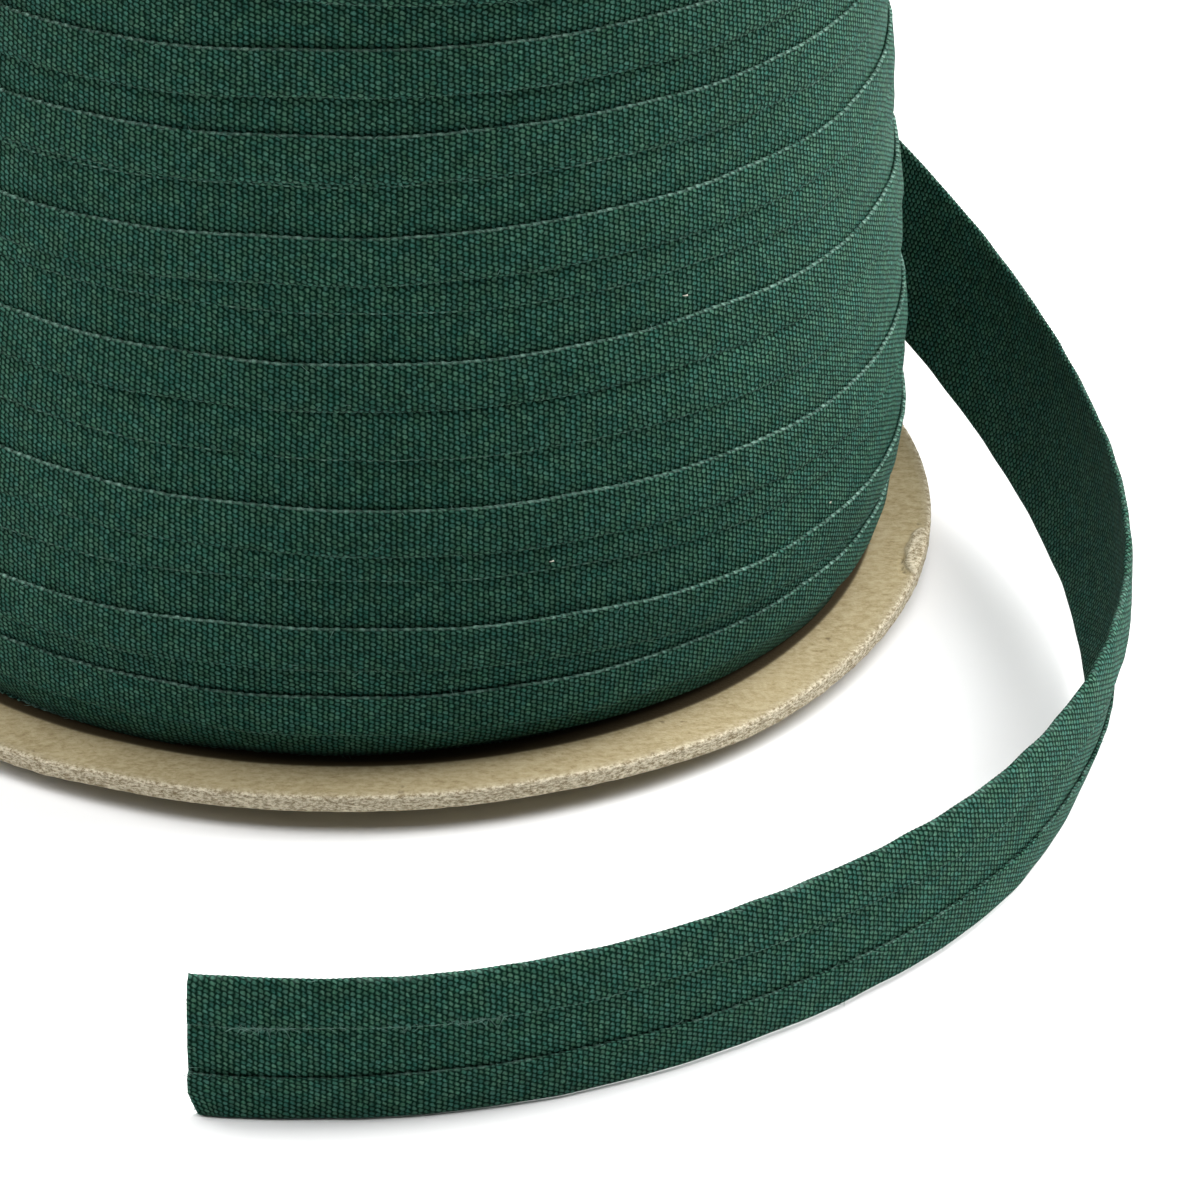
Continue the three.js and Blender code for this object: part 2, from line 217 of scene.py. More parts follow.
# Route of the loose end's lower edge, its cut end first: azimuth, reach and height above the surface in mm,
# lean of the tape's top edge outward in degrees, and how far its middle is crowned in mm. The rows steer an
# even cubic B-spline.
LOOSE_ROUTE = [
    (-111.5, 136, 0, -1, 0.7), (-98, 138, 0, -1, 0.7), (-83, 137, 0.1, 0, 0.7), (-68, 130, 0.5, -1, 0.7),
    (-53, 124, 0.7, -1, 0.9), (-36, 111.5, 1, 6, 1.9), (-19, 97.6, 2, 17, 2.0), (2, 85.8, 5, 20, 1.3),
    (26, 79, 12, 28, 0.7), (51, 79, 23.5, 30, 0.7), (73, 76.5, 43.5, 21, 0.7), (95, 75.5, 64.5, 2, 0.7),
    (115, 79.5, 86.5, -17, 0.7), (137, 83, 107, -36, 0.7), (162, 77.5, 113, -27, 0.7),
    (189.7, 66, 110, 0, 0.7), (217.4, 66.5, 106.5, 28, 0.7),
]
ROUTE_SAMPLES = 4001
JOIN_LENGTH = 30 * MM  # the loose end eases on to the last turn over this length
JOIN_GAP = 0.08 * MM
CUT_CORNER_UP, CUT_CORNER_BACK = 4.6 * MM, 1.35 * MM
CUT_REACH = 5 * MM  # the trimmed corner and the uneven cut fade out over this length
CUT_SHIFT = 40 * MM  # into the waves of the cut end
TAPE_MIDDLE = 0.5 * MM  # the route runs this far into the section's thickness
BOW_SHIFT, BOW = 0.7, 1.2  # the loose tape's dents start elsewhere and are deeper than a turn's
WANDER_FROM = 0.3  # a raw edge wanders fully where its scallop's share is above this

# Outline of the loose tape's folded strip, from the lower raw edge's outer corner: how far up from the lower
# fold, how far out from the inner face, then the scallops as in a turn. The upper half mirrors it.
FLAP_OUTSIDE = [
    (6.22, 0.94, 0.0, 1.0),
    (6.05, 1.04, 0.0, 0.7),
    (5.30, 1.06, 0.0, 0.1),
    (3.40, 1.07, 0.0, 0.0),
    (2.10, 1.07, 0.0, 0.0),
    (1.10, 1.07, 0.0, 0.0),
    (0.42, 1.02, 0.5, 0.0),
    (0.10, 0.82, 1.0, 0.0),
    (0.00, 0.53, 1.0, 0.0),
    (0.10, 0.24, 0.7, 0.0),
    (0.42, 0.04, 0.2, 0.0),
    (1.10, 0.00, 0.0, 0.0),
    (2.10, 0.00, 0.0, 0.0),
    (3.60, 0.00, 0.0, 0.0),
    (6.20, 0.00, 0.0, 0.0),
]
BACK_MIDDLE = [(8.4, 0.0, 0.0, 0.0), (10.6, 0.0, 0.0, 0.0)]
FLAP_UNDERSIDE = [
    (9.50, 0.50, 0.0, 0.0),
    (6.70, 0.50, 0.0, 0.0),
    (6.20, 0.48, 0.0, 0.0),
    (5.40, 0.49, 0.0, 0.0),
    (0.70, 0.50, 0.0, 0.0),
    (0.58, 0.53, 0.0, 0.0),
    (0.70, 0.56, 0.0, 0.0),
    (5.60, 0.56, 0.0, 0.2),
    (6.20, 0.60, 0.0, 1.0),
]
BETWEEN_LAYERS = (0.45 * MM, 0.6 * MM)  # the section's stretches in here are hidden under a flap
FLAP_WIDTH = 6.5 * MM

# Shares of the bake's map: a hidden stretch's height, a row's used part, and the corner for the ends' caps
HIDDEN_HEIGHT = 0.15
ROW_FILL = 0.97
CAP_CORNER = 0.999
TURN_ROWS, UNDER_ROWS, LOOSE_ROWS = 4, 6, 3

# Fibres: seeds of where they grow and of how they curl, how many, and their usual length
WOUND_SEEDS, WOUND_FIBRES, WOUND_FIBRE = (83, 89), 1500, 0.28 * MM
LOOSE_SEEDS, LOOSE_FIBRES, LOOSE_FIBRE = (97, 101), 760, 0.25 * MM
LENGTH_SPREAD = 2.5
LONGEST_FIBRE = 1.0 * MM
FIBRE_RADIUS = 0.034 * MM
CUT_FIBRES = 70
EDGE_SHARE = 0.9  # fibres grow where a scallop's share is above this
# Frayed places along the upper raw edge: middle and spread from the cut end, and how many fibres
FRAYED = [
    (7 * MM, 1.2 * MM, 60), (10.5 * MM, 1.5 * MM, 70), (33 * MM, 2.0 * MM, 90), (20 * MM, 6 * MM, 60),
]
FRAYED_LONGER = 1.5
# A thread's heading along its edge, up and outward, from and to or middle and spread, its curl and its taper
THREAD_STEPS = 5
ALONG, UPWARD, OUTWARD = (0.5, 1.2), (0.25, 0.6), (0.05, 0.7)
CURL, MOST_CURL = 0.8, 1.2
ROOT_THICKNESS, TAPER = 1.1, 0.7
# Azimuth, reach and height over the flange's underside of each speck of lint, the last two in mm
LINT = [(-54.2, 69.35, 61.2), (-89.5, 68.75, 71.7), (-33.7, 72.1, 23.2), (-70.0, 71.9, 30.8)]
LINT_SEED = 107
LINT_LENGTH = 0.45 * MM
LINT_RADIUS = 0.13 * MM

# Canvas. Wandering of its yarns: noise scale, how far it goes and which slice of the noise
ALONG_WANDER = [(250, 0.2 * PICK_PITCH, 1), (1400, 0.4 * PICK_PITCH, 2)]
ACROSS_WANDER = [(320, 0.35 * WARP_PITCH, 3), (1500, 0.55 * WARP_PITCH, 4)]
SLANT = 0.2  # of the beads, in warp pitches
BEAD_CREST = 1.4
BEAD_FALL = 1.45
BEAD_RANGE = (-0.15, 1.2)  # heights from the gaps' painted shade to the yarn's colour
WEAVE_DEPTH = 0.17 * MM
# Noises: scale and detail
CRUMBS = (2600, 2)
PATCHES = (60, 3)
STREAKS = (1.0, 2)
HUES = (420, 2)
STREAK_STRETCH = (90, 2400, 0)
HUE_RANGE = (0.35, 0.65)
HUE_SHARE = 0.55
# How much each noise adds to the tone, and the tone without it
PATCH_TONE = (0.34, 0.83)
STREAK_TONE = (0.5, 0.75)
CRUMB_TONE = (0.9, 0.55)
BEAD_TONE = (0.4, 0.78)
BEAD_RELIEF = (0.5, 0.75)
CRUMB_RELIEF = 0.3
# Tufts of a raw edge, over crumbs and over the picks' wave: from, to, least and most
CRUMB_TUFTS = (0.3, 0.7, 0.35, 1.0)
PICK_TUFTS = (-1.0, 1.0, 0.45, 1.0)
# Painted shade in the gaps between the yarns' beads, where the crevices fall dark
GAP_PAINTED_SHADE = (0.0014, 0.0150, 0.0085)
YARN_DEEP = (0.020, 0.080, 0.054)
# Pale yarn drawn for some beads at random: random tone, and its greyness also paints the beads' highlight
YARN_PALE_AND_HIGHLIGHT = (0.066, 0.148, 0.112)
YARN_TEAL = (0.024, 0.104, 0.082)
YARN_OLIVE = (0.046, 0.122, 0.072)
# Pale colour of frayed raw edges, which on the wound turns' lower raw edges also paints a highlight
RAW_COLOUR = (0.21, 0.35, 0.29)
CANVAS_FINISH = {
    "Roughness": 0.75, "Specular IOR Level": 0.03, "Sheen Weight": 0.05, "Sheen Roughness": 0.35,
    "Sheen Tint": (0.6, 0.9, 0.8),
}

# Board
BOARD_LIGHT = (0.345, 0.280, 0.155)
BOARD_DARK = (0.295, 0.237, 0.128)
BOARD_PALE = (0.44, 0.375, 0.235)
BOARD_BROWN = (0.20, 0.150, 0.075)
BOARD_SPECK = (0.11, 0.078, 0.038)
# Colour of the painted shade next to the tape and in the nick's crease
BOARD_PAINTED_SHADE = (0.045, 0.032, 0.015)
RIM_DARK = (0.22, 0.170, 0.095)
RIM_PALE = (0.70, 0.63, 0.475)
# Noises: stretch, scale, detail and roughness
BOARD_NOISES = {
    "clouds": (None, 70, 4, 0.6),
    "fibres": ((1, 1.7, 1), 800, 5, 0.75),
    "grain": (None, 2400, 3, 0.7),
    "specks": (None, 420, 2, 0.4),
    "layers": ((1, 1, 2.4), 1500, 4, 0.8),
}
CLOUD_RANGE = (0.3, 0.7)
LAYER_RANGE = (0.36, 0.64)
# Shades laid over each other: the noise, its values from none to the most, that most, and the colour
BOARD_SHADES = [
    ("fibres", 0.40, 0.66, 0.75, BOARD_PALE),
    ("fibres", 0.44, 0.30, 0.60, BOARD_BROWN),
    ("grain", 0.42, 0.25, 0.55, BOARD_BROWN),
    ("specks", 0.28, 0.2, 0.8, BOARD_SPECK),
]
FIBRE_RELIEF, GRAIN_RELIEF, LAYER_RELIEF = 0.8, 0.4, 2.0
BOARD_DEPTH = 0.12 * MM
MATT_FINISH = {"Roughness": 0.9, "Specular IOR Level": 0.1}

FIBRE_COLOUR = (0.13, 0.24, 0.20)
LINT_COLOUR = (0.62, 0.58, 0.50)
FLOOR_COLOUR = (0.88, 0.88, 0.88)
FLOOR_HALF = 3.0

CAMERA_DISTANCE = 935.73 * MM
CAMERA_ELEVATION = 29.545
CAMERA_YAW = 2.0084
CAMERA_PITCH = -0.7522
CAMERA_LENS, CAMERA_SENSOR = 213.44, 36  # mm, and the sensor is square
CAMERA_CLIP = 0.01

# Softboxes: where each stands, its width and height, its power in watts
SOFTBOXES = {
    "overhead": {"place": (0.0, -0.05, 1.20), "size": (1.3, 1.3), "watts": 20.0},
    "right": {"place": (0.91, 0.40, 0.60), "size": (0.9, 0.8), "watts": 31.0},
    "left": {"place": (-0.97, 0.21, 0.60), "size": (0.9, 0.8), "watts": 11.5},
}
LIT_POINT = (0, 0, 0.03)
SKY_STRENGTH = 0.10


def smooth(x, start, end):
    """0 before start, 1 after end, eased between"""
    t = np.clip((x - start) / (end - start), 0, 1)
    return t * t * (3 - 2 * t)


def waves(x, seed, amplitude, longest, shortest, count=7):
    """Soft unevenness along x, from sines of several lengths"""
    draw = np.random.default_rng(seed)
    total = np.zeros_like(x)
    for length in np.geomspace(longest, shortest, count):
        total += draw.uniform(0.5, 1) * np.sin(2 * np.pi * (x / length + draw.random()))
    return amplitude * total / math.sqrt(count / 2)


def ripples(angle, seed, amplitude, lowest, highest, count=12):
    """Unevenness that closes on itself round a circle"""
    draw = np.random.default_rng(seed)
    total = np.zeros_like(angle)
    for cycles in draw.integers(lowest, highest + 1, count):
        total += draw.uniform(0.4, 1) * np.sin(cycles * angle + 2 * np.pi * draw.random())
    return amplitude * total / math.sqrt(count / 2)


def polar(azimuth, reach, height):
    """Points from azimuths in degrees, distances from the axis and heights"""
    angle = np.radians(azimuth)
    return np.stack(np.broadcast_arrays(reach * np.cos(angle), reach * np.sin(angle), height), -1)


# Materials

class Graph:
    """A material's nodes, each added and linked in one call"""

    def __init__(self, name):
        self.material = bpy.data.materials.new(name)
        self.material.use_nodes = True
        self.tree = self.material.node_tree
        self.shader = self.tree.nodes["Principled BSDF"]

    def feed(self, socket, value):
        """Link or set a socket. Colours are given without their alpha."""
        if isinstance(value, bpy.types.NodeSocket):
            self.tree.links.new(value, socket)
        else:
            socket.default_value = (*value, 1) if socket.type == "RGBA" else value

    def add(self, kind, inputs=(), **settings):
        node = self.tree.nodes.new("ShaderNode" + kind)
        for name, value in settings.items():
            setattr(node, name, value)
        for name, value in dict(inputs).items():
            self.feed(node.inputs[name], value)
        return node

    def math(self, operation, *values):
        node = self.add("Math", operation=operation)
        for socket, value in zip(node.inputs, values):
            self.feed(socket, value)
        return node.outputs[0]

    def stretch(self, place, factors):
        return self.add("VectorMath", {0: place, 1: factors}, operation="MULTIPLY").outputs[0]

    def noise(self, place, scale, detail=2.0, roughness=0.5):
        inputs = {"Vector": place, "Scale": scale, "Detail": detail, "Roughness": roughness}
        return self.add("TexNoise", inputs).outputs["Fac"]

    def wander(self, place, rows):
        """A shift to and fro, the sum of two noises"""
        shifts = []
        for scale, reach, part in rows:
            inputs = {"Vector": place, "W": part, "Scale": scale, "Detail": 1.0}
            node = self.add("TexNoise", inputs, noise_dimensions="4D")
            shifts.append(self.math("MULTIPLY_ADD", node.outputs["Fac"], 2 * reach, -reach))
        return self.math("ADD", *shifts)

    def between(self, value, low, high, to_low=0.0, to_high=1.0):
        inputs = {"Value": value, "From Min": low, "From Max": high, "To Min": to_low, "To Max": to_high}
        return self.add("MapRange", inputs, interpolation_type="SMOOTHSTEP").outputs[0]

    def blend(self, share, first, second, mode="MIX"):
        node = self.add("Mix", data_type="RGBA", blend_type=mode)
        self.feed(node.inputs[0], share)
        self.feed(node.inputs[6], first)
        self.feed(node.inputs[7], second)
        return node.outputs[2]

    def bump(self, height, distance):
        node = self.add("Bump", {"Height": height, "Distance": distance, "Strength": 1.0})
        self.feed(self.shader.inputs["Normal"], node.outputs[0])

    def finish(self, colour, values):
        """Set the surface's colour and the shader's own numbers"""
        self.feed(self.shader.inputs["Base Color"], colour)
        for name, value in values.items():
            self.feed(self.shader.inputs[name], value)
        return self.material


def weave(g, place):
    """Height of the yarns' beads, the picks' wave, and a bead's own random red, green and blue"""
    parts = g.add("SeparateXYZ", {"Vector": place})
    along = g.math("ADD", parts.outputs["X"], g.wander(place, ALONG_WANDER))
    across = g.math("ADD", parts.outputs["Y"], g.wander(place, ACROSS_WANDER))
    phase = g.math("MULTIPLY", along, math.pi / PICK_PITCH)
    wave = g.math("COSINE", phase)
    slant = g.math("MULTIPLY", g.math("SINE", phase), SLANT * WARP_PITCH)

    def bead(crest, shift, start):
        row = g.math("ADD", g.math("DIVIDE", g.math("ADD", across, shift), WARP_PITCH), start)
        off = g.math("PINGPONG", row, 1.0)
        crest = g.math("MULTIPLY", crest, BEAD_CREST)
        return g.math("MULTIPLY_ADD", g.math("MULTIPLY", off, off), -BEAD_FALL, crest), row

    even, even_row = bead(wave, slant, 0.0)
    odd, odd_row = bead(g.math("MULTIPLY", wave, -1.0), g.math("MULTIPLY", slant, -1.0), 1.0)
    height = g.math("MAXIMUM", even, odd)
    is_odd = g.math("GREATER_THAN", odd, even)
    column = g.math("ROUND", g.math("MULTIPLY_ADD", is_odd, -0.5, g.math("DIVIDE", along, 2 * PICK_PITCH)))
    row = g.math("ADD", even_row, g.math("MULTIPLY", is_odd, g.math("SUBTRACT", odd_row, even_row)))
    row = g.math("ROUND", g.math("MULTIPLY", row, 0.5))
    number = g.add("CombineXYZ", {"X": column, "Y": row, "Z": is_odd})
    chance = g.add("TexWhiteNoise", {"Vector": number.outputs[0]}, noise_dimensions="3D")
    draws = g.add("SeparateColor", {"Color": chance.outputs["Color"]}).outputs
    return height, wave, (draws["Red"], draws["Green"], draws["Blue"])


def canvas():
    """Plain-weave canvas. Its warp yarns float over one pick in turn, so beads stand in staggered columns."""
    g = Graph("canvas")
    place = g.add("UVMap", uv_map="cloth").outputs["UV"]
    raw = g.add("Attribute", attribute_name="raw").outputs["Fac"]
    height, wave, (red, green, blue) = weave(g, place)

    beads = g.between(height, *BEAD_RANGE)
    crumbs = g.noise(place, *CRUMBS)
    patches = g.noise(place, *PATCHES)
    streaks = g.noise(g.stretch(place, STREAK_STRETCH), *STREAKS)
    # Each bead's yarn is deep or pale at random; the pale yarn carries a painted highlight
    yarn = g.blend(red, YARN_DEEP, YARN_PALE_AND_HIGHLIGHT)
    hue = g.between(g.noise(place, *HUES), *HUE_RANGE)
    yarn = g.blend(HUE_SHARE, yarn, g.blend(hue, YARN_TEAL, YARN_OLIVE))
    # The gaps between the beads get painted shade, the beads their yarn colour
    colour = g.blend(beads, GAP_PAINTED_SHADE, yarn)
    tone = g.math("MULTIPLY_ADD", patches, *PATCH_TONE)
    for source, share in ((streaks, STREAK_TONE), (crumbs, CRUMB_TONE), (green, BEAD_TONE)):
        tone = g.math("MULTIPLY", tone, g.math("MULTIPLY_ADD", source, *share))
    grey = g.add("CombineXYZ", {"X": tone, "Y": tone, "Z": tone}).outputs[0]
    colour = g.blend(1.0, colour, grey, "MULTIPLY")
    # Raw edges turn pale in tufts: frayed fibres, with a painted highlight on the wound turns' lower raw
    # edges
    tufts = g.math("MULTIPLY", g.between(crumbs, *CRUMB_TUFTS), g.between(wave, *PICK_TUFTS))
    colour = g.blend(g.math("MULTIPLY", raw, tufts), colour, RAW_COLOUR)
    relief = g.math("MULTIPLY", beads, g.math("MULTIPLY_ADD", blue, *BEAD_RELIEF))
    g.bump(g.math("MULTIPLY_ADD", crumbs, CRUMB_RELIEF, relief), WEAVE_DEPTH)
    return g.finish(colour, CANVAS_FINISH)


def board():
    """Uncoated chipboard: pressed grey-brown fibres, finely speckled. "raw" is 1 on its cut, layered rim and
    -1 where painted shade darkens it: next to the tape and in the nick's crease, and the dent beside the nick
    is darkened the same way."""
    g = Graph("board")
    place = g.add("TexCoord").outputs["Object"]
    raw = g.add("Attribute", attribute_name="raw").outputs["Fac"]
    rim = g.between(raw, 0.0, 1.0)
    painted_shade = g.between(raw, 0.0, -1.0)
    noises = {}
    for name, (factors, *settings) in BOARD_NOISES.items():
        noises[name] = g.noise(g.stretch(place, factors) if factors else place, *settings)
    colour = g.blend(g.between(noises["clouds"], *CLOUD_RANGE), BOARD_DARK, BOARD_LIGHT)
    for name, low, high, share, shade in BOARD_SHADES:
        colour = g.blend(g.between(noises[name], low, high, 0, share), colour, shade)
    cut = g.blend(g.between(noises["layers"], *LAYER_RANGE), RIM_DARK, RIM_PALE)
    colour = g.blend(rim, colour, cut)
    # Painted shade where the tape meets the board and in the nick's crease; the dent beside the nick is
    # darkened the same way
    colour = g.blend(painted_shade, colour, BOARD_PAINTED_SHADE)
    fibres = g.math("MULTIPLY", noises["fibres"], FIBRE_RELIEF)
    relief = g.math("ADD", fibres, g.math("MULTIPLY", noises["grain"], GRAIN_RELIEF))
    layers = g.math("MULTIPLY", g.math("MULTIPLY", rim, noises["layers"]), LAYER_RELIEF)
    g.bump(g.math("ADD", relief, layers), BOARD_DEPTH)
    return g.finish(colour, MATT_FINISH)


def plain(name, colour):
    return Graph(name).finish(colour, MATT_FINISH)


# Meshes

def make_object(name, points, faces, material, maps=(), raw=None):
    """A smooth-shaded object. maps are pairs of a name and each face corner's coordinates, in faces' order.
    raw says how frayed and pale the cloth is at each point, with a painted highlight on the wound turns'
    lower raw edges, or how raw the board is; on the board, below 0 it gives painted shade."""
    mesh = bpy.data.meshes.new(name)
    mesh.from_pydata(points.tolist(), [], faces)
    for title, corners in maps:
        layer = mesh.uv_layers.new(name=title)
        layer.data.foreach_set("uv", np.ascontiguousarray(corners, dtype=np.float32).ravel())
    if raw is not None:
        values = mesh.attributes.new("raw", "FLOAT", "POINT").data
        values.foreach_set("value", raw.astype(np.float32).ravel())
    mesh.polygons.foreach_set("use_smooth", np.ones(len(mesh.polygons), bool))
    mesh.materials.append(material)
    mesh.validate()
    obj = bpy.data.objects.new(name, mesh)
    bpy.context.scene.collection.objects.link(obj)
    return obj


def stand_in(piece, node):
    """The piece rides on the only body and stands for a node, whose part it hides"""
    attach(piece, "root")
    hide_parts(node)


def ribbon(name, rings, cloth, shares, rows, material, raw):
    """A closed mesh through rings of section points. cloth holds the coordinates in the cloth of each ring's
    points, the first one again at the end. The bake's map lays the ribbon out in rows, where shares are the
    heights that the section's stretches take."""
    count, size, _ = rings.shape
    i, k = np.meshgrid(np.arange(count - 1), np.arange(size), indexing="ij")
    i, k = i.ravel(), k.ravel()
    after = (k + 1) % size
    faces = np.stack([i * size + k, (i + 1) * size + k, (i + 1) * size + after, i * size + after], -1)
    corners = np.stack([cloth[i, k], cloth[i + 1, k], cloth[i + 1, k + 1], cloth[i, k + 1]], 1)

    per_row = math.ceil((count - 1) / rows)
    row = i // per_row
    start = (i - row * per_row) / per_row
    step = 1 / per_row
    edges = np.concatenate([[0], np.cumsum(shares)]) / np.sum(shares) * ROW_FILL
    low, high = (row + edges[k]) / rows, (row + edges[k + 1]) / rows
    baked = np.stack([np.stack([start, low], -1), np.stack([start + step, low], -1),
                      np.stack([start + step, high], -1), np.stack([start, high], -1)], 1)

    first = list(range(size))
    last = [(count - 1) * size + j for j in reversed(range(size))]
    caps = np.zeros((2 * size, 2))
    maps = [
        ("cloth", np.concatenate([corners.reshape(-1, 2), caps + cloth[0, 0]])),
        ("OFBake", np.concatenate([baked.reshape(-1, 2), caps + CAP_CORNER])),
    ]
    raw = np.broadcast_to(raw, rings.shape[:2])
    return make_object(name, rings.reshape(-1, 3), faces.tolist() + [first, last], material, maps, raw)


def drum(name, rings, cloth, material):
    """A ribbon that closes on itself round the axis"""
    count, size, _ = rings.shape
    i, k = np.meshgrid(np.arange(count), np.arange(size), indexing="ij")
    i, k = i.ravel(), k.ravel()
    j, after = (i + 1) % count, (k + 1) % size
    faces = np.stack([i * size + k, j * size + k, j * size + after, i * size + after], -1)
    ahead = np.array([cloth[1, 0, 0] - cloth[0, 0, 0], 0])
    corners = np.stack([cloth[i, k], cloth[i, k] + ahead, cloth[i, k + 1] + ahead, cloth[i, k + 1]], 1)
    return make_object(name, rings.reshape(-1, 3), faces.tolist(), material, [("cloth", corners)])


# Wound tape

def pack_radius(height):
    heights, radii = np.array(PACK_PROFILE).T * MM
    return np.interp(height, heights, radii)


def fold_line():
    """Rows of turns and heights of the lower fold, along the whole wind"""
    rows = [(-1, TURNS[0][0] - BACK_RISE)]
    for turn, heights in enumerate(TURNS):
        rows += [(turn + (RIGHT - azimuth) / 360, z) for azimuth, z in zip((RIGHT, FRONT, LEFT), heights)]
    rows.append((len(TURNS), TURNS[-1][-1] + BACK_RISE))
    return np.array(rows)


FOLD_TURNS, FOLD_HEIGHTS = fold_line().T
FOLD_HEIGHTS = FOLD_HEIGHTS * MM


def fold_height(turns):
    """A smooth curve through the fold line's rows, from cubics with the slopes of their neighbours"""
    x, y = FOLD_TURNS, FOLD_HEIGHTS
    slopes = np.empty_like(y)
    slopes[1:-1] = (y[2:] - y[:-2]) / (x[2:] - x[:-2])
    slopes[0] = (y[1] - y[0]) / (x[1] - x[0])
    slopes[-1] = (y[-1] - y[-2]) / (x[-1] - x[-2])
    i = np.clip(np.searchsorted(x, turns, side="right") - 1, 0, len(x) - 2)
    span = x[i + 1] - x[i]
    t = (turns - x[i]) / span
    start = (1 + 2 * t) * (1 - t) ** 2 * y[i] + t * (1 - t) ** 2 * span * slopes[i]
    end = t * t * (3 - 2 * t) * y[i + 1] + t * t * (t - 1) * span * slopes[i + 1]
    return start + end


# Length of tape from the first turn on, at each of many turns
LENGTH_TURNS = np.linspace(-1, LAST_TURN + TURNS_BEYOND, LENGTH_SAMPLES)
WIND_RADII = pack_radius(fold_height(LENGTH_TURNS[1:]) + TAPE_WIDTH / 2)
LENGTHS = np.concatenate([[0], np.cumsum(2 * np.pi * WIND_RADII * np.diff(LENGTH_TURNS))])


def tape_length(turns):
    return np.interp(turns, LENGTH_TURNS, LENGTHS)


def turn_height(turns):
    """Height of the lower fold, with its unevenness"""
    return fold_height(turns) + waves(tape_length(turns), *FOLD_WAVES)


def section_columns():
    return (np.array(TURN_SECTION).T * SECTION_UNITS)[:, None, :]


def turn_rings(turns):
    """Rings of a turn's section points at these turns, their coordinates in the cloth and how raw they are"""
    up, out, fold_share, raw_share = section_columns()
    turns = turns[:, None]
    length = tape_length(turns)
    height = turn_height(turns)
    pitch = turn_height(turns + 1) - height
    short = np.maximum(0, pitch + LEAST_LAP - TAPE_WIDTH) * (turns + 1 < LAST_TURN)
    stretch = (up / TAPE_WIDTH) * (waves(length, *WIDTH_WAVES) + short)

    # How far each point lies under the next turn, which ends where the loose tape leaves
    wound = 1 - smooth(turns + 1, *UNCOVERED)
    dip = COVERED_DIP * wound * smooth(up - pitch, *DIP_SLOPE)
    beat = np.cos(2 * np.pi * length / PICK_PITCH)
    tooth = np.cos(np.pi * length / PICK_PITCH) + waves(length, *TOOTH_WAVES)
    in_lower_half = up < TAPE_WIDTH / 2
    z = height + up + stretch
    z = z + np.where(in_lower_half, -1.0, 1.0) * fold_share * FOLD_SCALLOP * beat
    z = z + raw_share * RAW_SCALLOP * tooth
    lift = np.where(in_lower_half, 1.0, UPPER_LIFT) * np.abs(raw_share) * waves(length, *LIFT_WAVES)
    radius = pack_radius(z) + out - dip + lift + fold_share * FOLD_SWELL * FOLD_SCALLOP * beat
    radius = radius + waves(length, *PACK_WAVES) + pillow(length, up)

    # The first turns' lower part is turned in where it meets the flange
    floor = FLANGE_THICKNESS + TURN_IN_GAP
    under = np.maximum(0, floor - z)
    z = np.where(under > 0, floor + TURN_IN_SLOPE * (up + TURN_IN_START), z)
    near = smooth(z, floor + TURN_IN_HEIGHT, floor)
    radius = radius - TURN_IN_DEPTH * under - near * (FOOT_DRAW + foot_wave(turns))
    rings = polar(RIGHT - 360 * turns, radius, z + FOOT_HEIGHT)
    cloth = cloth_coordinates(length, up + stretch, out)
    return rings, cloth * [1, -1], fray_and_highlight(length, up, raw_share, fold_share, WOUND_FRAY_AND_HIGHLIGHT)


def fray_and_highlight(length, up, raw_share, fold_share, paleness):
    """How pale the cloth is: its raw edges, in tufts, and a little of its folds. The raw edges' paleness is
    frayed fibres, and on the wound turns' up-facing lower raw edges also a painted highlight.
    """
    lower = paleness[0] + waves(length, *LOWER_TUFTS)
    upper = paleness[1] + waves(length, *UPPER_TUFTS)
    edge = smooth(np.abs(raw_share), FRAYED_FROM, 1.0) * np.where(up < TAPE_WIDTH / 2, lower, upper)
    rubbed = smooth(fold_share, RUBBED_FROM, 1.0) * (RUBBED + waves(length, *RUBBED_WAVES))
    return np.clip(edge + rubbed, 0, 1)


def foot_wave(turns):
    """How the lowest band draws in and out along the flange"""
    return ripples(np.radians(RIGHT - 360 * turns), *FOOT_RIPPLE)


def pillow(length, up):
    """Very shallow dents and swells across the tape"""
    bands = [np.cos(cycles * np.pi * up / TAPE_WIDTH) for cycles in (1, 2, 3)]
    return sum(band * waves(length, PILLOW_SEED + i, *PILLOW_WAVES) for i, band in enumerate(bands))


def cloth_coordinates(length, up, out):
    """Along and across the cloth, in metres, going round the section"""
    rise, way = (np.diff(side, axis=1, append=side[:, :1]) for side in (up, out))
    across = np.cumsum(np.sqrt(rise ** 2 + way ** 2), 1)
    across = np.concatenate([np.zeros((across.shape[0], 1)), across], 1)
    along = np.broadcast_to(length, across.shape)
    return np.stack([along, across], -1)


def section_shares(up, out, hidden):
    """Heights in the bake's map of the section's stretches, hidden ones kept small"""
    lengths = np.hypot(np.diff(up, append=up[0]), np.diff(out, append=out[0]))
    return np.where(hidden, HIDDEN_HEIGHT * lengths, lengths)


def turn_shares():
    up, out = np.array(TURN_SECTION).T[:2]
    return section_shares(up, out, np.roll(out, -1) < INNER_FACE)


def wound_turns(material):
    """The turns of the last layer, each its own piece"""
    first = tape_length(CUT_TURN - 1)
    last = tape_length(LAST_TURN)
    marks = np.arange(math.ceil(first / STEP), math.floor(last / STEP) + 1)
    turns = np.append(np.interp(marks * STEP, LENGTHS, LENGTH_TURNS), LAST_TURN)
    cuts = [CUT_TURN - 1 + k for k in range(len(TURNS))] + [LAST_TURN]
    pieces = []
    for k, (start, end) in enumerate(zip(cuts, cuts[1:])):
        a, b = np.searchsorted(turns, [start, end])
        rings, cloth, raw = turn_rings(turns[a:b + 1])
        pieces.append(ribbon(f"tape_turn_{k + 1}", rings, cloth, turn_shares(), TURN_ROWS, material, raw))
    return pieces


